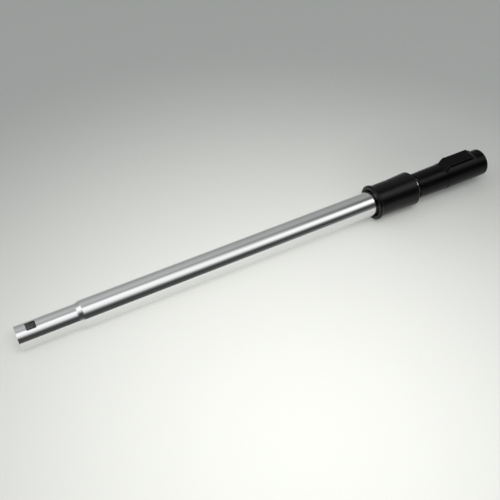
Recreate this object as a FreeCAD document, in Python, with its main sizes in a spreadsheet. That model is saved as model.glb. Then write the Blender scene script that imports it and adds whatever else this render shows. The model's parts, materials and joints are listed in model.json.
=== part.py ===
import FreeCAD, Part
import os
import re
import Sketcher

# Telescopic vacuum wand, pushed together. X runs along the wand from the end of the spigot to the mouth of
# the socket, on the tubes' common axis, and Z points up through the latch hole and the latch lever.
# Driving dimensions, in millimetres
SIZES = {
    # outer tube, swaged down to the spigot
    "tube_radius": 18.0,
    "tube_wall": 0.9,
    "tube_length": 556.0,
    "spigot_radius": 16.0,
    "spigot_length": 76.0,
    "taper_length": 6.0,
    "taper_blend": 9.0,
    "hole_place": 13.0,
    "hole_length": 12.6,
    "hole_width": 11.8,
    "hole_corner": 1.5,
    # inner tube with its guide groove
    "telescope_gap": 1.1,
    "inner_wall": 0.8,
    "inner_gap": 30.0,
    "groove_width": 5.0,
    "groove_depth": 0.9,
    # slide sleeve and seal on the inner tube's lower end
    "sleeve_length": 44.0,
    "sleeve_lip": 2.0,
    "sleeve_clearance": 0.2,
    "land_length": 14.0,
    "land_relief": 0.3,
    "seal_place": 5.0,
    "seal_width": 2.4,
    "seal_depth": 0.6,
    "seal_clearance": 0.05,
    # guide bush on the outer tube's upper end
    "bush_overlap": 30.0,
    "bush_nose": 24.0,
    "bush_wall": 0.9,
    "bush_clearance": 0.1,
    "flange_length": 2.5,
    "flange_clearance": 0.4,
    "key_clearance": 0.3,
    "wiper_place": 5.0,
    "wiper_width": 3.0,
    "wiper_depth": 1.6,
    "wiper_clearance": 0.05,
    "rivet_place": 10.0,
    "rivet_radius": 1.5,
    # clamp balls and the cone that presses on them
    "ball_place": 7.0,
    "ball_radius": 2.0,
    "ball_gap": 0.05,
    "window_clearance": 0.1,
    "cone_lead": 12.0,
    "cone_length": 22.0,
    "cone_slope": 0.07,
    "cone_gap": 0.1,
    # release collar with its front lip and spring
    "spring_room": 2.7,
    "collar_wall": 1.9,
    "waist_length": 28.0,
    "crown_rise": 1.5,
    "crown_length": 5.0,
    "end_wall": 8.0,
    "end_round": 3.0,
    "end_clearance": 1.1,
    "lip_rise": 2.1,
    "lip_length": 6.0,
    "lip_round": 2.4,
    "lip_tail": 7.8,
    "lip_clearance": 0.5,
    "lip_flare": 2.0,
    "lip_flat": 0.35,
    "stop_gap": 0.2,
    "spring_wire": 0.75,
    "spring_turns": 4.5,
    "spring_gap": 0.1,
    # connector body on the inner tube's upper end
    "connector_gap": 6.2,
    "connector_overlap": 68.8,
    "shoulder_length": 2.0,
    "neck_wall": 2.7,
    "neck_flare": 0.9,
    "neck_length": 48.8,
    "neck_round": 0.8,
    "step_wall": 1.4,
    "ring_place": 8.0,
    "ring_wire": 0.6,
    "ring_clearance": 0.02,
    "pin_place": 22.0,
    "pin_radius": 1.6,
    # ramp, and the hump that the lever sits in
    "hump_sink": 8.0,
    "hump_base_half": 11.6,
    "hump_rise": 4.2,
    "hump_top_half": 11.0,
    "hump_round": 1.0,
    "brow_lead": 5.0,
    "hump_slope": 9.0,
    "ramp_lead": 6.0,
    "ramp_foot_rise": 3.0,
    "ramp_foot_half": 8.5,
    "ramp_base_half": 10.5,
    "ramp_over": 0.4,
    "ramp_top_half": 10.5,
    "ramp_inset": 0.2,
    "ramp_round": 2.0,
    "corner_radius": 14.0,
    "corner_margin": 3.8,
    "parting_gap": 0.25,
    # socket shell, mouth ring and seal
    "shell_wall": 2.6,
    "shell_clearance": 0.05,
    "relief_gap": 0.5,
    "gasket_length": 3.0,
    "socket_depth": 48.0,
    "socket_radius": 16.15,
    "mouth_inset": 0.2,
    "mouth_length": 10.0,
    "mouth_tail": 8.0,
    "mouth_round": 2.4,
    "mouth_lead": 0.8,
    # latch lever, its pin and spring
    "lever_place": 5.8,
    "lever_length": 45.5,
    "lever_half": 8.75,
    "lever_gap": 0.55,
    "lever_rise": 3.8,
    "lever_slope": 5.7,
    "lever_drop": 5.6,
    "lever_thickness": 3.7,
    "lever_round": 0.8,
    "seat_gap": 0.3,
    "slot_depth": 5.6,
    "slot_end_gap": 0.8,
    "pivot_place": 26.0,
    "pivot_rise": 3.2,
    "pivot_radius": 1.5,
    "pivot_clearance": 0.05,
    "pivot_grip": 1.4,
    "pivot_end_gap": 0.2,
    "boss_half": 2.6,
    "boss_drop": 2.4,
    "hook_dip": 2.35,
    "hook_nose": 4.3,
    "hook_bevel": 3.2,
    "hook_clearance": 1.2,
    "hook_side_clearance": 0.5,
    "hook_margin": 0.9,
    "rib_place": 2.6,
    "rib_pitch": 4.2,
    "rib_width": 2.0,
    "rib_height": 0.6,
    "rib_inset": 1.2,
    "rib_count": 9,
    "coil_place": 10.0,
    "coil_radius": 2.4,
    "coil_wire": 0.3,
    "coil_turns": 3.0,
}

BALL_ANGLES = (90, 210, 330)

# Places and sizes worked out from the driving dimensions
PLACES = {
    "tube_bore": "tube_radius - tube_wall",
    "spigot_bore": "spigot_radius - tube_wall",
    "taper_end": "spigot_length + taper_length",
    "hole_end": "hole_place + hole_length",
    "inner_radius": "tube_bore - telescope_gap",
    "inner_bore": "inner_radius - inner_wall",
    "inner_place": "taper_end + inner_gap",
    "groove_floor": "inner_radius - groove_depth",
    "sleeve_start": "inner_place - sleeve_lip",
    "sleeve_end": "sleeve_start + sleeve_length",
    "sleeve_radius": "tube_bore - sleeve_clearance",
    "seal_start": "sleeve_start + seal_place",
    "seal_end": "seal_start + seal_width",
    "seal_floor": "sleeve_radius - seal_depth",
    "bush_start": "tube_length - bush_overlap",
    "bush_end": "tube_length + bush_nose",
    "bush_radius": "tube_radius + bush_wall",
    "bush_bore": "inner_radius + bush_clearance",
    "collar_bore": "bush_radius + spring_room",
    "flange_radius": "collar_bore - flange_clearance",
    "flange_end": "bush_start + flange_length",
    "wiper_start": "bush_end - wiper_place",
    "wiper_end": "wiper_start + wiper_width",
    "wiper_radius": "bush_bore + wiper_depth",
    "rivet_x": "bush_start + rivet_place",
    "ball_x": "tube_length + ball_place",
    "ball_reach": "inner_radius + ball_gap + ball_radius",
    "cone_start": "ball_x - cone_lead",
    "cone_end": "cone_start + cone_length",
    "cone_at_ball": "ball_reach + ball_radius + cone_gap",
    "cone_small": "cone_at_ball - cone_lead * cone_slope",
    "cone_large": "cone_at_ball + (cone_length - cone_lead) * cone_slope",
    "collar_end": "cone_end + end_wall",
    "collar_mouth": "bush_radius + end_clearance",
    "waist_radius": "collar_bore + collar_wall",
    "crown_radius": "waist_radius + crown_rise",
    "lip_radius": "waist_radius + lip_rise",
    "lip_end": "bush_start - stop_gap",
    "collar_start": "lip_end - lip_tail",
    "lip_start": "collar_start - lip_length",
    "lip_bore": "tube_radius + lip_clearance",
    "waist_end": "collar_start + waist_length",
    "crown_start": "collar_end - crown_length",
    "connector_start": "collar_end + connector_gap",
    "inner_end": "connector_start + connector_overlap",
    "inner_length": "inner_end - inner_place",
    "neck_radius": "inner_radius + neck_wall",
    "step_radius": "inner_radius + step_wall",
    "shell_radius": "step_radius + shell_wall",
    "relief_radius": "inner_radius + relief_gap",
    "mouth_radius": "shell_radius - mouth_inset",
    "connector_end": "inner_end + shoulder_length",
    "neck_end": "connector_start + neck_length",
    "ring_x": "neck_end - ring_place",
    "ring_middle": "inner_radius + ring_wire + ring_clearance",
    "ring_groove": "ring_middle + ring_wire + ring_clearance",
    "pin_x": "connector_start + pin_place",
    "ramp_start": "neck_end - ramp_lead",
    "hump_base": "shell_radius - hump_sink",
    "hump_top": "shell_radius + hump_rise",
    "ramp_foot": "hump_base + ramp_foot_rise",
    "ramp_top": "lever_top + ramp_over",
    "corner_z": "hump_top + corner_margin - corner_radius",
    "corner_x": "neck_end + corner_radius",
    "body_arc": "corner_radius + parting_gap",
    "shell_start": "neck_end + parting_gap",
    "step_bore": "step_radius + shell_clearance",
    "gasket_end": "connector_end + gasket_length",
    "mouth_end": "gasket_end + socket_depth",
    "mouth_start": "mouth_end - mouth_length",
    "tail_start": "mouth_start - mouth_tail",
    "shell_end": "mouth_start - parting_gap",
    "lever_start": "neck_end + lever_place",
    "lever_end": "lever_start + lever_length",
    "lever_top": "hump_top + lever_rise",
    "slot_half": "lever_half + lever_gap",
    "slot_floor": "hump_top - slot_depth",
    "slot_end": "lever_end + slot_end_gap",
    "hump_brow": "slot_end - brow_lead",
    "hump_end": "hump_brow + hump_slope",
    "pivot_x": "neck_end + pivot_place",
    "pivot_height": "slot_floor + pivot_rise",
    "pivot_half": "slot_half + pivot_grip",
    "lever_seat": "slot_floor + seat_gap",
    "hook_start": "gasket_end + hole_place + hook_clearance",
    "hook_end": "gasket_end + hole_end - hook_clearance",
    "hook_half": "hole_width / 2 - hook_side_clearance",
    "hook_tip": "socket_radius - hook_dip",
    "hook_heel": "hook_tip + hook_bevel",
    "window_half": "hook_half + hook_margin",
    "rib_x": "lever_start + rib_place",
    "coil_x": "pivot_x - coil_place",
    "lever_belly": "lever_top - lever_thickness",
    "lever_reach": "sqrt((pivot_x - lever_start) ^ 2 + (lever_top - pivot_height) ^ 2)",
    "lever_heel": "pivot_x - sqrt(lever_reach ^ 2 - (lever_belly - pivot_height) ^ 2)",
}

doc = FreeCAD.newDocument("VacuumWand")
sheet = doc.addObject("Spreadsheet::Sheet", "Sizes")
for row, (alias, number) in enumerate(SIZES.items(), start=1):
    sheet.set("A%d" % row, alias)
    sheet.set("B%d" % row, str(number))
    sheet.setAlias("B%d" % row, alias)
doc.recompute()


def bound(text):
    """The expression with every size read from the sheet and every worked-out place written in full."""

    def swap(match):
        word = match.group(0)
        if word in PLACES:
            return "(" + bound(PLACES[word]) + ")"
        return "Sizes." + word if word in SIZES else word

    return re.sub(r"[a-z_]+", swap, text)


def value(text):
    """The expression's number at the present sizes."""
    return float(sheet.evalExpression(bound(text)))


def bind(thing, **texts):
    """Ties properties of a feature to expressions of the sizes."""
    for name, text in texts.items():
        thing.setExpression(name.replace("__", "."), bound(text))


def new_body(node):
    body = doc.addObject("PartDesign::Body", node)
    body.Label = node
    return body


def new_sketch(body, name, plane, offset=None):
    """A sketch on one of the body's own planes: XZ reads x and z, YZ reads y and z, XY reads x and y."""
    sketch = body.newObject("Sketcher::SketchObject", body.Label + "_" + name)
    support = [feature for feature in body.Origin.OriginFeatures if feature.Role == plane + "_Plane"]
    sketch.AttachmentSupport = (support[0], [""])
    sketch.MapMode = "FlatFace"
    if offset:
        bind(sketch, AttachmentOffset__Base__z=offset)
    return sketch


def hold(sketch, kind, geometry, point, text):
    """Sets a point's distance from the sketch's origin along one axis."""
    if text == "0":
        axis = -2 if kind == "DistanceX" else -1
        sketch.addConstraint(Sketcher.Constraint("PointOnObject", geometry, point, axis))
        return
    index = sketch.addConstraint(Sketcher.Constraint(kind, -1, 1, geometry, point, value(text)))
    sketch.setExpression("Constraints[%d]" % index, bound(text))


def outline(sketch, corners):
    """A closed outline. Each corner is its two distances from the axes, and a third entry makes the run to
    the next corner an arc of that radius, turning clockwise."""
    first = sketch.GeometryCount
    spots = [FreeCAD.Vector(value(corner[0]), value(corner[1]), 0) for corner in corners]
    count = len(corners)
    heads = []
    tails = []
    for i, corner in enumerate(corners):
        start, end = spots[i], spots[(i + 1) % count]
        if len(corner) == 2:
            sketch.addGeometry(Part.LineSegment(start, end), False)
            heads.append(1)
            tails.append(2)
            continue
        radius = value(corner[2])
        chord = end - start
        height = (radius * radius - chord.Length**2 / 4) ** 0.5
        left = FreeCAD.Vector(-chord.y, chord.x, 0).normalize()
        centre = (start + end) / 2 - left * height
        middle = centre + left * radius
        sketch.addGeometry(Part.Arc(end, middle, start), False)
        heads.append(2)
        tails.append(1)
        index = sketch.addConstraint(Sketcher.Constraint("Radius", first + i, radius))
        sketch.setExpression("Constraints[%d]" % index, bound(corner[2]))
    for i in range(count):
        after = (i + 1) % count
        join = Sketcher.Constraint("Coincident", first + i, tails[i], first + after, heads[after])
        sketch.addConstraint(join)
    for i, corner in enumerate(corners):
        hold(sketch, "DistanceX", first + i, heads[i], corner[0])
        hold(sketch, "DistanceY", first + i, heads[i], corner[1])
    return sketch


def circle(sketch, across, up, radius):
    """A circle held by its centre and radius."""
    centre = FreeCAD.Vector(value(across), value(up), 0)
    index = sketch.addGeometry(Part.Circle(centre, FreeCAD.Vector(0, 0, 1), value(radius)), False)
    hold(sketch, "DistanceX", index, 3, across)
    hold(sketch, "DistanceY", index, 3, up)
    mark = sketch.addConstraint(Sketcher.Constraint("Radius", index, value(radius)))
    sketch.setExpression("Constraints[%d]" % mark, bound(radius))
    return sketch


def turned(body, name, corners, cut=False):
    """A profile of x and radius, turned round the wand's axis, added or cut away."""
    sketch = outline(new_sketch(body, name + "_profile", "XZ"), corners)
    kind = "PartDesign::Groove" if cut else "PartDesign::Revolution"
    feature = body.newObject(kind, body.Label + "_" + name)
    feature.Profile = sketch
    feature.ReferenceAxis = (sketch, ["H_Axis"])
    feature.Angle = 360
    doc.recompute()
    return feature


def extruded(body, name, sketch, length, cut=False, both=False, reverse=False):
    """A sketch carried along its normal, added or cut away, to one side or evenly to both."""
    feature = body.newObject("PartDesign::Pocket" if cut else "PartDesign::Pad", body.Label + "_" + name)
    feature.Profile = sketch
    feature.SideType = "Symmetric" if both else "One side"
    feature.Reversed = reverse
    bind(feature, Length=length)
    doc.recompute()
    return feature


def edges_through(shape, points):
    """Names of the edges that pass through the given points."""
    names = []
    for point in points:
        spot = Part.Vertex(FreeCAD.Vector(*[value(text) for text in point]))
        for i, edge in enumerate(shape.Edges, start=1):
            if edge.distToShape(spot)[0] < 0.01:
                names.append("Edge%d" % i)
    return sorted(set(names))


def rounded(body, name, base, radius, points):
    """Rounds the edges of the body's last feature that pass through the given points."""
    fillet = body.newObject("PartDesign::Fillet", body.Label + "_" + name)
    fillet.Base = (base, edges_through(base.Shape, points))
    bind(fillet, Radius=radius)
    doc.recompute()
    return fillet


def ring(node, inner, outer, start, end):
    """A plain ring of rectangular section round the wand's axis."""
    body = new_body(node)
    turned(body, "ring", [(start, inner), (end, inner), (end, outer), (start, outer)])
    return body


def make_outer_tube():
    body = new_body("outer_tube")
    wall = turned(
        body,
        "wall",
        [
            ("0", "spigot_bore"),
            ("spigot_length", "spigot_bore"),
            ("taper_end", "tube_bore"),
            ("tube_length", "tube_bore"),
            ("tube_length", "tube_radius"),
            ("taper_end", "tube_radius"),
            ("spigot_length", "spigot_radius"),
            ("0", "spigot_radius"),
        ],
    )
    bends = [
        ("spigot_length", "spigot_bore", "0"),
        ("taper_end", "tube_bore", "0"),
        ("taper_end", "tube_radius", "0"),
        ("spigot_length", "spigot_radius", "0"),
    ]
    rounded(body, "bends", wall, "taper_blend", bends)
    hole = new_sketch(body, "hole_outline", "XY")
    outline(
        hole,
        [
            ("hole_place", "-hole_width / 2"),
            ("hole_end", "-hole_width / 2"),
            ("hole_end", "hole_width / 2"),
            ("hole_place", "hole_width / 2"),
        ],
    )
    cut = extruded(body, "hole", hole, "tube_radius", cut=True, reverse=True)
    height = "sqrt((spigot_radius - tube_wall / 2) ^ 2 - hole_width ^ 2 / 4)"
    sides = ("-hole_width / 2", "hole_width / 2")
    corners = [(x, y, height) for x in ("hole_place", "hole_end") for y in sides]
    rounded(body, "hole_corners", cut, "hole_corner", corners)
    rivets = circle(new_sketch(body, "rivet_holes_outline", "XZ"), "rivet_x", "0", "rivet_radius")
    extruded(body, "rivet_holes", rivets, "4 * tube_radius", cut=True, both=True)
    return body


def make_inner_tube():
    body = new_body("inner_tube")
    wall = [
        ("inner_place", "inner_bore"),
        ("inner_end", "inner_bore"),
        ("inner_end", "inner_radius"),
        ("inner_place", "inner_radius"),
    ]
    turned(body, "wall", wall)
    ridge = new_sketch(body, "ridge_outline", "YZ", "inner_place")
    side = "groove_width / 2 + inner_wall"
    top = "-(groove_floor - inner_wall)"
    foot = "-(inner_bore + inner_wall / 4)"
    outline(ridge, [("-(%s)" % side, foot), (side, foot), (side, top), ("-(%s)" % side, top)])
    extruded(body, "ridge", ridge, "inner_length")
    groove = new_sketch(body, "groove_outline", "YZ", "inner_place")
    edge = "groove_width / 2"
    low = "-(inner_radius + inner_wall)"
    outline(groove, [("-" + edge, low), (edge, low), (edge, "-groove_floor"), ("-" + edge, "-groove_floor")])
    extruded(body, "groove", groove, "inner_length", cut=True, reverse=True)
    hole = circle(new_sketch(body, "pin_hole_outline", "XY"), "pin_x", "0", "pin_radius")
    extruded(body, "pin_hole", hole, "inner_radius", cut=True)
    return body


def make_slide_sleeve():
    body = new_body("slide_sleeve")
    turned(
        body,
        "wall",
        [
            ("sleeve_start", "inner_bore"),
            ("inner_place", "inner_bore"),
            ("inner_place", "inner_radius"),
            ("sleeve_end", "inner_radius"),
            ("sleeve_end", "sleeve_radius"),
            ("sleeve_end - land_length", "sleeve_radius"),
            ("sleeve_end - land_length", "sleeve_radius - land_relief"),
            ("sleeve_start + land_length", "sleeve_radius - land_relief"),
            ("sleeve_start + land_length", "sleeve_radius"),
            ("seal_end", "sleeve_radius"),
            ("seal_end", "seal_floor"),
            ("seal_start", "seal_floor"),
            ("seal_start", "sleeve_radius"),
            ("sleeve_start", "sleeve_radius"),
        ],
    )
    return body


def make_guide_bush():
    body = new_body("guide_bush")
    turned(
        body,
        "wall",
        [
            ("bush_start", "tube_radius"),
            ("tube_length", "tube_radius"),
            ("tube_length", "bush_bore"),
            ("wiper_start", "bush_bore"),
            ("wiper_start", "wiper_radius"),
            ("wiper_end", "wiper_radius"),
            ("wiper_end", "bush_bore"),
            ("bush_end", "bush_bore"),
            ("bush_end", "bush_radius"),
            ("flange_end", "bush_radius"),
            ("flange_end", "flange_radius"),
            ("bush_start", "flange_radius"),
        ],
    )
    key = new_sketch(body, "key_outline", "YZ", "tube_length")
    edge = "groove_width / 2 - key_clearance"
    floor = "-(groove_floor + key_clearance)"
    foot = "-(bush_bore + bush_radius) / 2"
    outline(key, [("-(%s)" % edge, foot), (edge, foot), (edge, floor), ("-(%s)" % edge, floor)])
    extruded(body, "key", key, "wiper_start - tube_length")
    window = circle(new_sketch(body, "window_outline", "XY"), "ball_x", "0", "ball_radius + window_clearance")
    cut = extruded(body, "window", window, "flange_radius", cut=True, reverse=True)
    pattern = body.newObject("PartDesign::PolarPattern", "guide_bush_windows")
    pattern.Originals = [cut]
    pattern.Axis = ([axis for axis in body.Origin.OriginFeatures if axis.Role == "X_Axis"][0], [""])
    pattern.Occurrences = len(BALL_ANGLES)
    pattern.Angle = 360
    body.Tip = pattern
    doc.recompute()
    rivets = circle(new_sketch(body, "rivet_holes_outline", "XZ"), "rivet_x", "0", "rivet_radius")
    extruded(body, "rivet_holes", rivets, "4 * tube_radius", cut=True, both=True)
    return body


def compound(node, pieces):
    group = doc.addObject("Part::Compound", node)
    group.Label = node
    group.Links = pieces
    doc.recompute()
    return group


def make_bush_rivets():
    """Two rivets, one each side, flush inside the tube and outside the bush."""
    rivets = []
    length = "sqrt(bush_radius ^ 2 - rivet_radius ^ 2) - tube_bore"
    for side, turn in (("near", 90), ("far", -90)):
        rivet = doc.addObject("Part::Cylinder", "bush_rivet_" + side)
        rivet.Placement = FreeCAD.Placement(FreeCAD.Vector(), FreeCAD.Rotation(FreeCAD.Vector(1, 0, 0), turn))
        sign = "-" if turn > 0 else ""
        bind(rivet, Radius="rivet_radius", Height=length, Placement__Base__x="rivet_x")
        bind(rivet, Placement__Base__y=sign + "tube_bore")
        rivets.append(rivet)
    return compound("bush_rivets", rivets)


def make_clamp_balls():
    balls = []
    for angle in BALL_ANGLES:
        ball = doc.addObject("Part::Sphere", "clamp_ball_%d" % angle)
        bind(ball, Radius="ball_radius", Placement__Base__x="ball_x")
        ball.setExpression("Placement.Base.y", "%s * cos(%d deg)" % (bound("ball_reach"), angle))
        ball.setExpression("Placement.Base.z", "%s * sin(%d deg)" % (bound("ball_reach"), angle))
        balls.append(ball)
    return compound("clamp_balls", balls)


def make_cone_ring():
    body = new_body("cone_ring")
    corners = [
        ("cone_start", "cone_small"),
        ("cone_end", "cone_large"),
        ("cone_end", "collar_bore"),
        ("cone_start", "collar_bore"),
    ]
    turned(body, "ring", corners)
    return body


def make_release_collar():
    body = new_body("release_collar")
    wall = turned(
        body,
        "wall",
        [
            ("collar_start", "collar_bore"),
            ("cone_end", "collar_bore"),
            ("cone_end", "collar_mouth"),
            ("collar_end", "collar_mouth"),
            ("collar_end", "crown_radius"),
            ("crown_start", "crown_radius"),
            ("waist_end", "waist_radius"),
            ("collar_start", "waist_radius"),
        ],
    )
    rounded(body, "end_edge", wall, "end_round", [("collar_end", "crown_radius", "0")])
    return body


def make_collar_lip():
    body = new_body("collar_lip")
    wall = turned(
        body,
        "wall",
        [
            ("lip_start", "lip_bore + lip_flare"),
            ("lip_start + lip_length / 2", "lip_bore"),
            ("lip_end", "lip_bore"),
            ("lip_end", "collar_bore"),
            ("collar_start", "collar_bore"),
            ("collar_start", "lip_radius"),
            ("lip_start", "lip_radius"),
        ],
    )
    edges = [("lip_start", "lip_radius", "0"), ("collar_start", "lip_radius", "0")]
    rounded(body, "bead", wall, "lip_round", edges)
    flat = new_sketch(body, "flat_outline", "XZ")
    low, high = "-(lip_radius + lip_flat)", "-(lip_radius - lip_flat)"
    outline(flat, [("lip_start", low), ("collar_start", low), ("collar_start", high), ("lip_start", high)])
    extruded(body, "flat", flat, "4 * lip_radius", cut=True, both=True)
    return body


def make_coil(node, axis, reach, wire, length, turns, **place):
    """A round wire wound round the body's own X axis (H_Axis) or Z axis (V_Axis), from the body's place."""
    body = new_body(node)
    bind(body, **{"Placement__Base__" + name: text for name, text in place.items()})
    sketch = new_sketch(body, "wire", "XZ")
    across, up = (wire, reach) if axis == "H_Axis" else (reach, wire)
    circle(sketch, across, up, wire)
    helix = body.newObject("PartDesign::AdditiveHelix", node + "_winding")
    helix.Profile = sketch
    helix.ReferenceAxis = (sketch, [axis])
    helix.Mode = "height-turns-angle"
    bind(helix, Height="%s - 2 * %s" % (length, wire), Turns=turns)
    doc.recompute()
    return body


def pin(node, turn, radius, height, **place):
    """A plain round pin, lying along Z turned about X."""
    cylinder = doc.addObject("Part::Cylinder", node)
    cylinder.Label = node
    cylinder.Placement = FreeCAD.Placement(FreeCAD.Vector(), FreeCAD.Rotation(FreeCAD.Vector(1, 0, 0), turn))
    bind(cylinder, Radius=radius, Height=height)
    bind(cylinder, **{"Placement__Base__" + name: text for name, text in place.items()})
    doc.recompute()
    return cylinder


def trapezoid(sketch, low_half, low, high_half, high):
    """An upright symmetrical trapezoid across the wand."""
    corners = [("-(%s)" % low_half, low), (low_half, low), (high_half, high), ("-(%s)" % high_half, high)]
    return outline(sketch, corners)


def soft_trapezoid(sketch, low_half, low, high_half, high, radius):
    """An upright symmetrical trapezoid whose upper corners are rounded off with the given radius."""
    lean = "((%s) - (%s))" % (low_half, high_half)
    rise = "((%s) - (%s))" % (high, low)
    side = "sqrt(%s ^ 2 + %s ^ 2)" % (lean, rise)
    setback = "(%s) * sqrt((%s - %s) / (%s + %s))" % (radius, side, lean, side, lean)
    shoulder = "(%s) + %s * %s / %s" % (high_half, setback, lean, side)
    shoulder_height = "(%s) - %s * %s / %s" % (high, setback, rise, side)
    top = "(%s) - %s" % (high_half, setback)
    corners = [
        (low_half, low),
        ("-(%s)" % low_half, low),
        ("-(%s)" % shoulder, shoulder_height, radius),
        ("-(%s)" % top, high),
        (top, high, radius),
        (shoulder, shoulder_height),
    ]
    return outline(sketch, corners)


def make_connector_seal():
    body = new_body("connector_seal")
    sketch = circle(new_sketch(body, "section", "XZ"), "ring_x", "ring_middle", "ring_wire")
    feature = body.newObject("PartDesign::Revolution", "connector_seal_ring")
    feature.Profile = sketch
    feature.ReferenceAxis = (sketch, ["H_Axis"])
    feature.Angle = 360
    doc.recompute()
    return body


def make_connector_body():
    body = new_body("connector_body")
    foot = new_sketch(body, "ramp_foot", "YZ", "ramp_start")
    soft_trapezoid(foot, "ramp_base_half", "hump_base", "ramp_foot_half", "ramp_foot", "ramp_round")
    head = new_sketch(body, "ramp_head", "YZ", "lever_start")
    base_half = "hump_base_half - ramp_inset"
    soft_trapezoid(head, base_half, "hump_base", "ramp_top_half", "ramp_top", "ramp_round")
    ramp = body.newObject("PartDesign::AdditiveLoft", "connector_body_ramp")
    ramp.Profile = foot
    ramp.Sections = [head]
    ramp.Ruled = True
    doc.recompute()
    corner = circle(new_sketch(body, "corner_outline", "XZ"), "corner_x", "corner_z", "body_arc")
    extruded(body, "corner", corner, "4 * neck_radius", cut=True, both=True)
    swing_sketch = new_sketch(body, "swing_outline", "XZ")
    swing = circle(swing_sketch, "pivot_x", "pivot_height", "lever_reach + lever_gap")
    extruded(body, "swing", swing, "4 * neck_radius", cut=True, both=True)
    wall = turned(
        body,
        "wall",
        [
            ("connector_start", "inner_bore"),
            ("connector_end", "inner_bore"),
            ("connector_end", "step_radius"),
            ("neck_end", "step_radius"),
            ("neck_end", "neck_radius + neck_flare"),
            ("connector_start", "neck_radius"),
        ],
    )
    ring_half = "(ring_wire + ring_clearance)"
    turned(
        body,
        "bore",
        [
            ("connector_start", "0"),
            ("inner_end", "0"),
            ("inner_end", "inner_radius"),
            ("ring_x + " + ring_half, "inner_radius"),
            ("ring_x + " + ring_half, "ring_groove"),
            ("ring_x - " + ring_half, "ring_groove"),
            ("ring_x - " + ring_half, "inner_radius"),
            ("connector_start", "inner_radius"),
        ],
        cut=True,
    )
    hole = circle(new_sketch(body, "pin_hole_outline", "XY"), "pin_x", "0", "pin_radius")
    cut = extruded(body, "pin_hole", hole, "2 * neck_radius", cut=True)
    rounded(body, "neck_edge", cut, "neck_round", [("connector_start", "neck_radius", "0")])
    return body


def make_socket_shell():
    body = new_body("socket_shell")
    section = new_sketch(body, "hump_section", "YZ", "shell_start")
    trapezoid(section, "hump_base_half", "hump_base", "hump_top_half", "hump_top")
    hump = extruded(body, "hump", section, "hump_end - shell_start")
    middle = "(shell_start + hump_end) / 2"
    edges = [(middle, "hump_top_half", "hump_top"), (middle, "-hump_top_half", "hump_top")]
    rounded(body, "hump_edges", hump, "hump_round", edges)
    brow = new_sketch(body, "brow_outline", "XZ")
    run = "hump_slope / (hump_top - shell_radius)"
    outline(
        brow,
        [
            ("hump_brow - corner_margin * " + run, "hump_top + corner_margin"),
            ("hump_end + parting_gap * " + run, "shell_radius - parting_gap"),
            ("hump_end + hump_slope", "shell_radius - parting_gap"),
            ("hump_end + hump_slope", "hump_top + corner_margin"),
        ],
    )
    extruded(body, "brow", brow, "4 * shell_radius", cut=True, both=True)
    turned(
        body,
        "wall",
        [
            ("shell_start", "relief_radius"),
            ("shell_end", "relief_radius"),
            ("shell_end", "shell_radius"),
            ("shell_start", "shell_radius"),
        ],
    )
    corner = new_sketch(body, "corner_outline", "XZ")
    outline(
        corner,
        [
            ("neck_end", "corner_z", "corner_radius"),
            ("corner_x", "corner_z + corner_radius"),
            ("neck_end - parting_gap", "corner_z + corner_radius"),
            ("neck_end - parting_gap", "corner_z"),
        ],
    )
    extruded(body, "corner", corner, "4 * shell_radius", cut=True, both=True)
    turned(
        body,
        "bore",
        [
            ("shell_start", "0"),
            ("shell_end", "0"),
            ("shell_end", "step_bore"),
            ("tail_start", "step_bore"),
            ("tail_start", "relief_radius"),
            ("connector_end", "relief_radius"),
            ("connector_end", "step_bore"),
            ("shell_start", "step_bore"),
        ],
        cut=True,
    )
    slot = new_sketch(body, "slot_outline", "YZ", "shell_start")
    trapezoid(slot, "slot_half", "slot_floor", "slot_half", "lever_top")
    extruded(body, "slot", slot, "slot_end - shell_start", cut=True, reverse=True)
    window = new_sketch(body, "window_outline", "XY")
    start, end = "hook_start - hook_margin", "hook_end + hook_margin"
    outline(
        window, [(start, "-window_half"), (end, "-window_half"), (end, "window_half"), (start, "window_half")]
    )
    extruded(body, "window", window, "lever_top", cut=True, reverse=True)
    holes = circle(new_sketch(body, "pin_holes_outline", "XZ"), "pivot_x", "pivot_height", "pivot_radius")
    extruded(body, "pin_holes", holes, "2 * pivot_half", cut=True, both=True)
    return body


def make_mouth_ring():
    body = new_body("mouth_ring")
    wall = turned(
        body,
        "wall",
        [
            ("tail_start", "socket_radius"),
            ("mouth_end - mouth_lead", "socket_radius"),
            ("mouth_end", "socket_radius + mouth_lead"),
            ("mouth_end", "mouth_radius"),
            ("mouth_start", "mouth_radius"),
            ("mouth_start", "step_radius"),
            ("tail_start", "step_radius"),
        ],
    )
    rounded(body, "mouth_edge", wall, "mouth_round", [("mouth_end", "mouth_radius", "0")])
    return body


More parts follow.
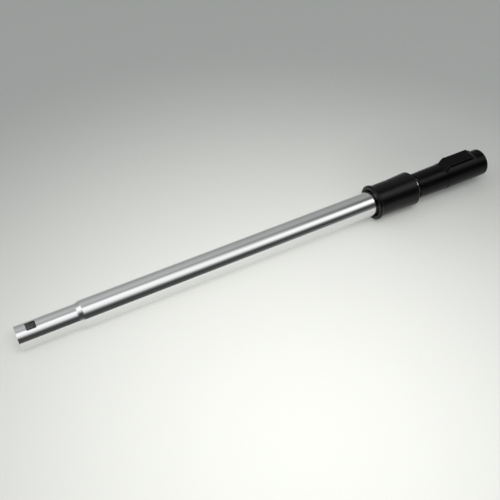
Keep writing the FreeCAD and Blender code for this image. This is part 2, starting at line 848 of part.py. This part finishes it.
def make_latch_lever():
    body = new_body("latch_lever")
    side = new_sketch(body, "side_outline", "XZ")
    outline(
        side,
        [
            ("lever_heel", "lever_belly", "lever_reach"),
            ("lever_start", "lever_top"),
            ("lever_end - lever_slope", "lever_top"),
            ("lever_end", "lever_top - lever_drop"),
            ("lever_end", "lever_seat"),
            ("pivot_x + boss_half", "lever_seat"),
            ("pivot_x + boss_half", "pivot_height - boss_drop"),
            ("pivot_x - boss_half", "pivot_height - boss_drop"),
            ("pivot_x - boss_half", "lever_belly"),
        ],
    )
    lever = extruded(body, "pad", side, "2 * lever_half", both=True)
    middle = "lever_end - lever_slope / 2"
    height = "lever_top - lever_drop / 2"
    edges = [("lever_start", "0", "lever_top"), ("lever_end - lever_slope", "0", "lever_top")]
    for half in ("lever_half", "-lever_half"):
        edges += [("pivot_x", half, "lever_top"), (middle, half, height)]
    rounded(body, "pad_edges", lever, "lever_round", edges)
    hook = new_sketch(body, "hook_outline", "XZ")
    outline(
        hook,
        [
            ("hook_start", "hook_tip"),
            ("hook_start + hook_nose", "hook_tip"),
            ("hook_end", "hook_heel"),
            ("hook_end", "lever_seat + boss_drop"),
            ("hook_start", "lever_seat + boss_drop"),
        ],
    )
    extruded(body, "hook", hook, "2 * hook_half", both=True)
    hole_sketch = new_sketch(body, "pin_hole_outline", "XZ")
    hole = circle(hole_sketch, "pivot_x", "pivot_height", "pivot_radius + pivot_clearance")
    extruded(body, "pin_hole", hole, "4 * lever_half", cut=True, both=True)
    rib_sketch = new_sketch(body, "rib_outline", "XZ")
    outline(
        rib_sketch,
        [
            ("rib_x", "lever_top - rib_height"),
            ("rib_x + rib_width", "lever_top - rib_height"),
            ("rib_x + rib_width", "lever_top"),
            ("rib_x + rib_width * 3 / 4", "lever_top + rib_height"),
            ("rib_x + rib_width / 4", "lever_top + rib_height"),
            ("rib_x", "lever_top"),
        ],
    )
    rib = extruded(body, "rib", rib_sketch, "2 * (lever_half - rib_inset)", both=True)
    pattern = body.newObject("PartDesign::LinearPattern", "latch_lever_ribs")
    pattern.Originals = [rib]
    pattern.Direction = ([axis for axis in body.Origin.OriginFeatures if axis.Role == "X_Axis"][0], [""])
    bind(pattern, Length="rib_pitch * (rib_count - 1)", Occurrences="rib_count")
    body.Tip = pattern
    doc.recompute()
    return body


pieces = [
    make_outer_tube(),
    make_guide_bush(),
    make_bush_rivets(),
    make_clamp_balls(),
    ring("wiper_ring", "inner_radius + wiper_clearance", "wiper_radius", "wiper_start", "wiper_end"),
    make_coil(
        "collar_spring",
        "H_Axis",
        "(bush_radius + collar_bore) / 2",
        "spring_wire",
        "cone_start - spring_gap - flange_end",
        "spring_turns",
        x="flange_end",
    ),
    make_release_collar(),
    make_collar_lip(),
    make_cone_ring(),
    make_inner_tube(),
    make_slide_sleeve(),
    ring("slide_seal", "seal_floor", "tube_bore - seal_clearance", "seal_start", "seal_end"),
    make_connector_body(),
    make_connector_seal(),
    pin(
        "connector_rivet",
        0,
        "pin_radius",
        "sqrt(neck_radius ^ 2 - pin_radius ^ 2) - (groove_floor - inner_wall)",
        x="pin_x",
        z="-sqrt(neck_radius ^ 2 - pin_radius ^ 2)",
    ),
    make_socket_shell(),
    make_mouth_ring(),
    ring("socket_seal", "inner_bore", "relief_radius", "connector_end", "gasket_end"),
    pin(
        "pivot_pin",
        90,
        "pivot_radius",
        "2 * (pivot_half - pivot_end_gap)",
        x="pivot_x",
        y="pivot_half - pivot_end_gap",
        z="pivot_height",
    ),
    make_coil(
        "lever_spring",
        "V_Axis",
        "coil_radius",
        "coil_wire",
        "lever_belly - spring_gap - slot_floor",
        "coil_turns",
        x="coil_x",
        z="slot_floor",
    ),
    make_latch_lever(),
]

# Every feature has to have worked, and every piece to be a sound solid
doc.recompute()
for thing in doc.Objects:
    faults = [word for word in thing.State if word in ("Invalid", "Error")]
    if faults:
        raise RuntimeError("%s is %s" % (thing.Label, faults))
os.makedirs("parts", exist_ok=True)
for piece in pieces:
    if piece.Shape.isNull() or not piece.Shape.isValid():
        raise RuntimeError("%s has no valid shape" % piece.Label)
    piece.Shape.exportStep("parts/%s.step" % piece.Label)
    print(piece.Label, len(piece.Shape.Solids), round(piece.Shape.Volume, 1))
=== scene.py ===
import json
import math

import bpy
import numpy as np
from mathutils import Matrix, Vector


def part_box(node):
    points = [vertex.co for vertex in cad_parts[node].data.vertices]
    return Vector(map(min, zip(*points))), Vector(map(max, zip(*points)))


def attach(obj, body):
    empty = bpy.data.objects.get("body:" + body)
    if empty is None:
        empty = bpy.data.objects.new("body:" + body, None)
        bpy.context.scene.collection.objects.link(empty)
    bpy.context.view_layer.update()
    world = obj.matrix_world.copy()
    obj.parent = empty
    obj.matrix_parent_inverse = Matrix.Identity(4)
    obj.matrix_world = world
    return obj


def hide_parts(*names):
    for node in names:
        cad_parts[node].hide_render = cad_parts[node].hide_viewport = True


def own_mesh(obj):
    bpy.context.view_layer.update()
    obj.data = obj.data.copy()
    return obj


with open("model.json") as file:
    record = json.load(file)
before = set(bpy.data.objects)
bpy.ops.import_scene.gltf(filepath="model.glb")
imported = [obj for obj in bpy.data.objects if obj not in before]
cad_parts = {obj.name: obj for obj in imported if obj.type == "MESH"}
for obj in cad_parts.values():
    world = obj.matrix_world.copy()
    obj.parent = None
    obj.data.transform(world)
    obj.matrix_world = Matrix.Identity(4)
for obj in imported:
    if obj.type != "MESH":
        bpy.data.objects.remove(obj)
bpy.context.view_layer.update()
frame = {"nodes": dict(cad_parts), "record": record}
nodes = frame["nodes"]
scene = bpy.context.scene
scene.view_settings.view_transform = "Standard"

# The picture's side and the focal length in pixels, and the sensor's width in millimetres
PICTURE_SIDE = 500
FOCAL_PIXELS = 700.0
SENSOR_MM = 36.0

# Where the camera stands, its three directions and how far it sees
CAMERA_PLACE = (0.0310, -0.5584, 0.7086)
CAMERA_RIGHT = (0.889883, -0.456189, 0.0)
CAMERA_DOWN = (-0.341739, -0.666627, -0.662437)
CAMERA_FORWARD = (0.302196, 0.589491, -0.749117)
CAMERA_REACH = 100.0

# The floor, which touches the spigot's end and the collar's lip
SPIGOT_UNDERSIDE = -0.0160
LIP_UNDERSIDE = -0.02525
LIP_STATION = 0.515
FLOOR_HALF = 40.0
FLOOR_ROUGHNESS = 0.9
FLOOR_GLOSS = 0.1

# The floor's bright pool in front of the wand, a pool of light painted into the floor's colour
POOL_MIDDLE = (0.2528, -0.2341, -0.020)
POOL_RADIUS = 0.785
PAINTED_POOL_COLOUR = (0.98, 0.99, 0.94)
PAINTED_POOL_EDGE_COLOUR = (0.384, 0.40, 0.388)

# The share of the floor's colour that shows without shading, beside the black end and beside the chrome
BLACK_UNSHADED = 0.15
CHROME_UNSHADED = 0.55

# The distances from the black end's middle between which that share changes
BLACK_MIDDLE = (0.63, 0.0, -0.026)
BLACK_REACH = 0.09
CHROME_REACH = 0.17

# A lamp over the floor in front of the wand, left out of reflections
FLOOR_LAMP_PLACE = (0.30, -0.60, 1.10)
FLOOR_LAMP_SIZE = 0.8
FLOOR_LAMP_WATTS = 7.8

# The radius of the middle of each tube's wall before and after the swage's slope, and the slope's two ends
OUTER_WALL = (0.01555, 0.01755)
INNER_WALL = (0.0156, 0.0156)
SWAGE_SLOPE = (0.076, 0.082)

# A scale that leaves only what lies across the wand, and the wand's axis after it
ACROSS_WAND = (0.0, 1.0, 1.0)
AXIS_POINT = (0.0, 0.0, 0.0)

# The part of its range that noise mostly fills
NOISE_LOW = 0.3
NOISE_HIGH = 0.7

# How often the marks on metal change along the wand and in the two directions across it
DRAW_LINES = (12.0, 1040.0, 1040.0)
HANDLING_MARKS = (9.0, 30.0, 30.0)
TURNING_MARKS = (900.0, 60.0, 60.0)

# Chrome outside, and in the bore bare steel whose darker colour is partly painted shade inside the tube,
# with the roughness that the draw lines add
CHROME_DARK = (0.76, 0.765, 0.775)
CHROME_LIGHT = (0.84, 0.845, 0.85)
CHROME_ROUGHNESS = (0.09, 0.13)
LINE_ROUGHNESS = (0.0, 0.03)
BORE_DARK = (0.58, 0.585, 0.59)
BORE_LIGHT = (0.70, 0.705, 0.71)
BORE_ROUGHNESS = (0.38, 0.46)

# The relief of draw lines, plastic grain and felt fibres: its strength and its depth in metres
LINE_RELIEF = (0.05, 0.00002)
GRAIN_RELIEF = (0.1, 0.00004)
FIBRE_RELIEF = (0.6, 0.0003)

# How finely plastic is clouded
PLASTIC_CLOUDS = 60.0

# The felt's fibres, colours and roughness
FELT_FIBRES = 1800.0
FELT_DARK = (0.2, 0.2, 0.19)
FELT_LIGHT = (0.36, 0.36, 0.34)
FELT_ROUGHNESS = 0.95

# The steps that a coil's turn is made of, and the sides of its wire
STEPS_A_TURN = 36
WIRE_SIDES = 12

# The axis that a coil rises along
ALONG_WAND = 0
UPWARD = 2


def new_material(name):
    """An empty node material with its shader, and the object's own coordinates."""
    material = bpy.data.materials.new(name)
    material.use_nodes = True
    tree = material.node_tree
    shader = tree.nodes["Principled BSDF"]
    coordinates = tree.nodes.new("ShaderNodeTexCoord")
    return material, tree, shader, coordinates.outputs["Object"]


def feed(tree, socket, source):
    """Gives a socket what another socket puts out, or a plain number, place or colour."""
    if isinstance(source, bpy.types.NodeSocket):
        tree.links.new(source, socket)
    elif socket.type == "RGBA":
        socket.default_value = (*source, 1.0)
    else:
        socket.default_value = source


def number(tree, operation, first, second):
    """A number worked out from two others."""
    node = tree.nodes.new("ShaderNodeMath")
    node.operation = operation
    feed(tree, node.inputs[0], first)
    feed(tree, node.inputs[1], second)
    return node.outputs["Value"]


def blend(tree, share, first, second, kind="RGBA"):
    """A colour, or another kind of value, between two others."""
    mix = tree.nodes.new("ShaderNodeMix")
    mix.data_type = kind
    feed(tree, mix.inputs["Factor"], share)
    feed(tree, mix.inputs["A"], first)
    feed(tree, mix.inputs["B"], second)
    return mix.outputs["Result"]


def stretched(tree, vector, scale):
    """Coordinates multiplied along each axis."""
    mapping = tree.nodes.new("ShaderNodeMapping")
    mapping.inputs["Scale"].default_value = scale
    tree.links.new(vector, mapping.inputs["Vector"])
    return mapping.outputs["Vector"]


def distance(tree, place, middle):
    """How far a point lies from another, in metres."""
    reach = tree.nodes.new("ShaderNodeVectorMath")
    reach.operation = "DISTANCE"
    reach.inputs[1].default_value = middle
    tree.links.new(place, reach.inputs[0])
    return reach.outputs["Value"]


def directions(tree, vector):
    """The three numbers of a vector, under the names X, Y and Z."""
    parts = tree.nodes.new("ShaderNodeSeparateXYZ")
    tree.links.new(vector, parts.inputs["Vector"])
    return parts.outputs


def cloud(tree, vector, scale, detail):
    """Soft noise between 0 and 1."""
    noise = tree.nodes.new("ShaderNodeTexNoise")
    noise.inputs["Scale"].default_value = scale
    noise.inputs["Detail"].default_value = detail
    tree.links.new(vector, noise.inputs["Vector"])
    return noise.outputs["Fac"]


def spread(tree, value, low, high, start=NOISE_LOW, end=NOISE_HIGH):
    """A value between start and end carried to the range from low to high."""
    node = tree.nodes.new("ShaderNodeMapRange")
    node.inputs["From Min"].default_value = start
    node.inputs["From Max"].default_value = end
    node.inputs["To Min"].default_value = low
    node.inputs["To Max"].default_value = high
    tree.links.new(value, node.inputs["Value"])
    return node.outputs["Result"]


def relief(tree, value, shader, strength, depth):
    """Fine relief from a height between 0 and 1."""
    bump = tree.nodes.new("ShaderNodeBump")
    bump.inputs["Strength"].default_value = strength
    bump.inputs["Distance"].default_value = depth
    tree.links.new(value, bump.inputs["Height"])
    tree.links.new(bump.outputs["Normal"], shader.inputs["Normal"])


def inside(tree, place, wall):
    """One nearer to the wand's axis than the middle of a tube's wall, and zero further out."""
    radius = distance(tree, stretched(tree, place, ACROSS_WAND), AXIS_POINT)
    middle = spread(tree, directions(tree, place)["X"], *wall, *SWAGE_SLOPE)
    return number(tree, "LESS_THAN", radius, middle)


def chrome_finish(name, wall):
    """Polished chrome on drawn tube: faint draw lines along the tube and cloudy handling marks. The bore is
    bare steel, dull and darker, its darker colour partly painted shade inside the tube, and so is the inner
    tube's guide groove, which lies as near to the axis."""
    material, tree, shader, place = new_material(name)
    shader.inputs["Metallic"].default_value = 1.0
    lines = cloud(tree, stretched(tree, place, DRAW_LINES), scale=1.0, detail=4.0)
    marks = cloud(tree, stretched(tree, place, HANDLING_MARKS), scale=1.0, detail=5.0)
    bore = inside(tree, place, wall)
    chrome = blend(tree, marks, CHROME_DARK, CHROME_LIGHT)
    # Bare steel's own tone, darkened in part as painted shade inside the tube
    steel = blend(tree, lines, BORE_DARK, BORE_LIGHT)
    tree.links.new(blend(tree, bore, chrome, steel), shader.inputs["Base Color"])
    drawn = spread(tree, lines, *LINE_ROUGHNESS)
    polish = number(tree, "ADD", drawn, spread(tree, marks, *CHROME_ROUGHNESS))
    dull = spread(tree, marks, *BORE_ROUGHNESS)
    tree.links.new(blend(tree, bore, polish, dull, "FLOAT"), shader.inputs["Roughness"])
    relief(tree, lines, shader, *LINE_RELIEF)
    return material


def plastic_finish(name, dark, light, roughness, grain, gloss=0.5):
    """Moulded plastic or rubber: even grain, slight cloudiness in colour and gloss."""
    material, tree, shader, place = new_material(name)
    clouds = cloud(tree, place, scale=PLASTIC_CLOUDS, detail=4.0)
    fine = cloud(tree, place, scale=grain, detail=2.0)
    tree.links.new(blend(tree, clouds, dark, light), shader.inputs["Base Color"])
    tree.links.new(spread(tree, clouds, *roughness), shader.inputs["Roughness"])
    shader.inputs["Specular IOR Level"].default_value = gloss
    relief(tree, fine, shader, *GRAIN_RELIEF)
    return material


def steel_finish(name, dark, light, roughness):
    """Bare steel with faint turning marks."""
    material, tree, shader, place = new_material(name)
    shader.inputs["Metallic"].default_value = 1.0
    marks = cloud(tree, stretched(tree, place, TURNING_MARKS), scale=1.0, detail=3.0)
    tree.links.new(blend(tree, marks, dark, light), shader.inputs["Base Color"])
    tree.links.new(spread(tree, marks, *roughness), shader.inputs["Roughness"])
    return material


def felt_finish(name):
    """Pressed felt: short fibres at all angles."""
    material, tree, shader, place = new_material(name)
    fibres = cloud(tree, place, scale=FELT_FIBRES, detail=6.0)
    tree.links.new(blend(tree, fibres, FELT_DARK, FELT_LIGHT), shader.inputs["Base Color"])
    shader.inputs["Roughness"].default_value = FELT_ROUGHNESS
    relief(tree, fibres, shader, *FIBRE_RELIEF)
    return material


FINISHES = {
    "chromed_tube": chrome_finish("chromed_tube", OUTER_WALL),
    "collar_plastic": plastic_finish(
        "collar_plastic",
        dark=(0.0012, 0.0013, 0.0014),
        light=(0.0020, 0.0021, 0.0023),
        roughness=(0.21, 0.27),
        grain=2600.0,
        gloss=0.27,
    ),
    "connector_plastic": plastic_finish(
        "connector_plastic",
        dark=(0.0011, 0.0012, 0.0013),
        light=(0.0018, 0.0019, 0.0021),
        roughness=(0.20, 0.26),
        grain=2600.0,
        gloss=0.17,
    ),
    "lever_plastic": plastic_finish(
        "lever_plastic",
        dark=(0.0013, 0.0014, 0.0015),
        light=(0.0022, 0.0023, 0.0025),
        roughness=(0.24, 0.32),
        grain=2200.0,
        gloss=0.17,
    ),
    "guide_plastic": plastic_finish(
        "guide_plastic",
        dark=(0.5, 0.5, 0.48),
        light=(0.58, 0.58, 0.56),
        roughness=(0.35, 0.45),
        grain=1500.0,
    ),
    "plain_steel": steel_finish(
        "plain_steel",
        dark=(0.5, 0.5, 0.52),
        light=(0.64, 0.64, 0.66),
        roughness=(0.22, 0.36),
    ),
    "spring_steel": steel_finish(
        "spring_steel",
        dark=(0.4, 0.41, 0.43),
        light=(0.5, 0.51, 0.53),
        roughness=(0.25, 0.4),
    ),
    "seal_rubber": plastic_finish(
        "seal_rubber",
        dark=(0.018, 0.018, 0.018),
        light=(0.03, 0.03, 0.03),
        roughness=(0.6, 0.75),
        grain=1200.0,
    ),
    "wiper_felt": felt_finish("wiper_felt"),
}


def dress_nodes():
    """Every node gets its slot's finish, and the inner tube, whose wall is straight, one of its own."""
    for part in frame["record"]["subparts"]:
        node = nodes[part["node"]]
        node.data.materials.clear()
        node.data.materials.append(FINISHES[part["material_slot"]])
    nodes["inner_tube"].data.materials[0] = chrome_finish("chromed_inner_tube", INNER_WALL)


def coil_spring(name, node, body, along, turns, wire):
    """A round wire carried along a helix that fills the node's box. A point of the helix turns evenly round
    the box's middle and rises evenly along one axis, and the wire's circle lies across the helix. The wire
    is given as its radius in metres."""
    low, high = (np.array(corner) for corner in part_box(node))
    across, beside = (along + 1) % 3, (along + 2) % 3
    radius = (high[across] - low[across]) / 2 - wire
    rise = high[along] - low[along] - 2 * wire
    turn = np.linspace(0.0, 2 * math.pi * turns, int(turns * STEPS_A_TURN) + 1)[:, None]
    slope = rise / (2 * math.pi * turns * radius)
    steep = math.hypot(1.0, slope)
    ring = np.linspace(0.0, 2 * math.pi, WIRE_SIDES, endpoint=False)[None, :]
    outward = radius + wire * np.cos(ring)
    points = np.empty((turn.shape[0], WIRE_SIDES, 3))
    points[..., across] = outward * np.cos(turn) + wire * np.sin(ring) * slope / steep * np.sin(turn)
    points[..., beside] = outward * np.sin(turn) - wire * np.sin(ring) * slope / steep * np.cos(turn)
    points[..., along] = wire + rise * turn / turn[-1] + wire * np.sin(ring) / steep
    points += np.where(np.arange(3) == along, low, (low + high) / 2)
    step, side = np.meshgrid(np.arange(turn.shape[0] - 1), np.arange(WIRE_SIDES), indexing="ij")
    following = (side + 1) % WIRE_SIDES
    corners = ((step, side), (step + 1, side), (step + 1, following), (step, following))
    quads = np.stack([i * WIRE_SIDES + j for i, j in corners], axis=-1).reshape(-1, 4)
    start = np.arange(WIRE_SIDES)
    end = (turn.shape[0] - 1) * WIRE_SIDES + start[::-1]
    mesh = bpy.data.meshes.new(name)
    mesh.from_pydata(points.reshape(-1, 3).tolist(), [], quads.tolist() + [start.tolist(), end.tolist()])
    mesh.polygons.foreach_set("use_smooth", [True] * len(quads) + [False, False])
    mesh.materials.append(FINISHES["spring_steel"])
    spring = bpy.data.objects.new(name, mesh)
    scene.collection.objects.link(spring)
    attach(spring, body)
    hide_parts(node)
    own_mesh(spring)


def floor_finish():
    """A pale floor with a painted pool of light: its colour is brightest in front of the wand and greyer
    with distance. For the camera, and for what mirrors or lets it through, a share of its colour glows
    without shading. This painted light softens the shadows, more beside the chrome, which throws light back
    on the floor, than beside the black end."""
    material, tree, shader, place = new_material("pale_floor")
    shader.inputs["Roughness"].default_value = FLOOR_ROUGHNESS
    shader.inputs["Specular IOR Level"].default_value = FLOOR_GLOSS
    fade = tree.nodes.new("ShaderNodeMapRange")
    fade.interpolation_type = "SMOOTHSTEP"
    fade.inputs["From Max"].default_value = POOL_RADIUS
    tree.links.new(distance(tree, place, POOL_MIDDLE), fade.inputs["Value"])
    # Painted pool of light: the floor's colour is brightest in front of the wand and greyer with distance
    colour = blend(tree, fade.outputs["Result"], PAINTED_POOL_COLOUR, PAINTED_POOL_EDGE_COLOUR)
    tree.links.new(colour, shader.inputs["Base Color"])
    glow = tree.nodes.new("ShaderNodeEmission")
    tree.links.new(colour, glow.inputs["Color"])
    path = tree.nodes.new("ShaderNodeLightPath")
    seen = path.outputs["Is Camera Ray"]
    for ray in ("Is Glossy Ray", "Is Transmission Ray"):
        seen = number(tree, "MAXIMUM", seen, path.outputs[ray])
    # Painted light: more of the floor's colour glows unshaded beside the chrome, for the light it throws
    # back, than beside the black end
    away = distance(tree, place, BLACK_MIDDLE)
    unshaded = spread(tree, away, BLACK_UNSHADED, CHROME_UNSHADED, BLACK_REACH, CHROME_REACH)
    mix = tree.nodes.new("ShaderNodeMixShader")
    tree.links.new(number(tree, "MULTIPLY", seen, unshaded), mix.inputs["Fac"])
    tree.links.new(shader.outputs["BSDF"], mix.inputs[1])
    tree.links.new(glow.outputs["Emission"], mix.inputs[2])
    tree.links.new(mix.outputs["Shader"], tree.nodes["Material Output"].inputs["Surface"])
    return material


def lay_floor():
    """A wide square, tilted so that it touches the spigot's end and the collar's lip."""
    slope = (LIP_UNDERSIDE - SPIGOT_UNDERSIDE) / LIP_STATION
    across = np.array([-FLOOR_HALF, FLOOR_HALF, FLOOR_HALF, -FLOOR_HALF])
    along = np.array([-FLOOR_HALF, -FLOOR_HALF, FLOOR_HALF, FLOOR_HALF])
    corners = np.stack([across, along, SPIGOT_UNDERSIDE + slope * across], axis=1)
    mesh = bpy.data.meshes.new("floor")
    mesh.from_pydata(corners.tolist(), [], [(0, 1, 2, 3)])
    floor = bpy.data.objects.new("floor", mesh)
    scene.collection.objects.link(floor)
    mesh.materials.append(floor_finish())


# Round the wand: degrees from the horizon on the camera's side over the top, and the light level there
SWAGE_LIGHT = {
    "front floor line": (4, 0.22),
    "dark front": (22, 0.055),
    "dark front end": (62, 0.07),
    "soft light near edge": (84, 0.90),
    "soft light": (98, 1.30),
    "soft light far end": (116, 1.30),
    "ceiling behind": (132, 0.42),
    "wall": (150, 0.40),
    "wall foot": (178, 0.34),
}
SPIGOT_LIGHT = {
    "front floor line": (4, 0.10),
    "front of the room": (17, 0.06),
    "dark front": (22, 0.055),
    "dark front end": (37, 0.06),
    "ceiling in front": (46, 0.22),
    "soft light near edge": (61, 0.92),
    "soft light": (79, 1.22),
    "soft light far end": (89, 1.22),
    "ceiling behind": (103, 0.42),
    "ceiling behind end": (110, 0.46),
    "wall light": (127, 0.64),
    "wall": (150, 0.44),
    "wall foot": (178, 0.36),
}
TUBE_LIGHT = {
    "front floor line": (4, 0.22),
    "front of the room": (17, 0.08),
    "dark front": (22, 0.055),
    "dark front end": (35, 0.07),
    "ceiling in front": (43, 0.34),
    "soft light near edge": (53, 1.02),
    "soft light": (63, 1.28),
    "soft light far end": (74, 1.24),
    "ceiling behind": (90, 0.20),
    "ceiling behind end": (103, 0.17),
    "wall light": (120, 0.42),
    "wall": (148, 0.38),
    "wall foot": (178, 0.34),
}
NECK_LIGHT = {
    "front floor line": (4, 0.20),
    "dark front": (22, 0.055),
    "dark front end": (38, 0.07),
    "ceiling in front": (47, 0.30),
    "soft light near edge": (57, 1.30),
    "soft light": (67, 2.30),
    "soft light far end": (76, 2.10),
    "ceiling behind": (91, 0.18),
    "ceiling behind end": (105, 0.14),
    "wall light": (122, 0.32),
    "wall": (148, 0.30),
    "wall foot": (178, 0.26),
}
SOCKET_LIGHT = {
    "front floor line": (4, 0.18),
    "dark front": (22, 0.05),
    "dark front end": (38, 0.06),
    "ceiling in front": (46, 0.20),
    "soft light near edge": (57, 0.56),
    "soft light": (67, 0.70),
    "soft light far end": (76, 0.62),
    "ceiling behind": (92, 0.10),
    "ceiling behind end": (108, 0.09),
    "wall light": (125, 0.17),
    "wall": (148, 0.17),
    "wall foot": (178, 0.16),
}
RAMP_END = 180.0

# Along the wand: the lean of the direction that is mirrored, and the light that is met there
STUDIO = (
    (-0.35, SWAGE_LIGHT),
    (-0.10, SPIGOT_LIGHT),
    (0.12, SPIGOT_LIGHT),
    (0.46, TUBE_LIGHT),
    (0.52, NECK_LIGHT),
    (0.59, SOCKET_LIGHT),
)


def studio_ramp(tree, share, places):
    """The light levels of one station of the studio, over the angle round the wand."""
    ramp = tree.nodes.new("ShaderNodeValToRGB")
    stops = ramp.color_ramp.elements
    while len(stops) < len(places):
        stops.new(0.5)
    for stop, (degrees, level) in zip(stops, places.values()):
        stop.position = degrees / RAMP_END
        stop.color = (level, level, level, 1.0)
    tree.links.new(share, ramp.inputs["Fac"])
    return ramp.outputs["Color"]


def light_studio():
    """A world whose brightness depends on the angle round the wand and on the lean along it, and a lamp over
    the floor in front."""
    world = bpy.data.worlds.new("studio")
    scene.world = world
    world.use_nodes = True
    tree = world.node_tree
    toward = directions(tree, tree.nodes.new("ShaderNodeTexCoord").outputs["Generated"])
    angle = number(tree, "ARCTAN2", toward["Z"], number(tree, "MULTIPLY", toward["Y"], -1.0))
    share = number(tree, "DIVIDE", angle, math.radians(RAMP_END))
    light = studio_ramp(tree, share, SWAGE_LIGHT)
    for (before, _), (lean, places) in zip(STUDIO, STUDIO[1:]):
        passed = spread(tree, toward["X"], 0.0, 1.0, before, lean)
        light = blend(tree, passed, light, studio_ramp(tree, share, places))
    tree.links.new(light, tree.nodes["Background"].inputs["Color"])
    lamp = bpy.data.lights.new("floor_lamp", "AREA")
    lamp.shape = "DISK"
    lamp.size = FLOOR_LAMP_SIZE
    lamp.energy = FLOOR_LAMP_WATTS
    holder = bpy.data.objects.new("floor_lamp", lamp)
    holder.location = FLOOR_LAMP_PLACE
    holder.visible_glossy = False
    scene.collection.objects.link(holder)


def place_camera():
    """The photograph's camera: its right, up and back directions are the columns of its turn."""
    data = bpy.data.cameras.new("camera")
    data.sensor_width = SENSOR_MM
    data.lens = FOCAL_PIXELS / PICTURE_SIDE * SENSOR_MM
    data.clip_end = CAMERA_REACH
    camera = bpy.data.objects.new("camera", data)
    scene.collection.objects.link(camera)
    turn = np.stack([CAMERA_RIGHT, -np.array(CAMERA_DOWN), -np.array(CAMERA_FORWARD)], axis=1)
    matrix = Matrix(turn.tolist()).to_4x4()
    matrix.translation = CAMERA_PLACE
    camera.matrix_world = matrix
    scene.camera = camera


dress_nodes()
coil_spring(
    "collar_coil",
    "collar_spring",
    body="outer",
    along=ALONG_WAND,
    turns=4.5,
    wire=0.00075,
)
coil_spring(
    "lever_coil",
    "lever_spring",
    body="inner",
    along=UPWARD,
    turns=3.0,
    wire=0.0003,
)
lay_floor()
light_studio()
place_camera()
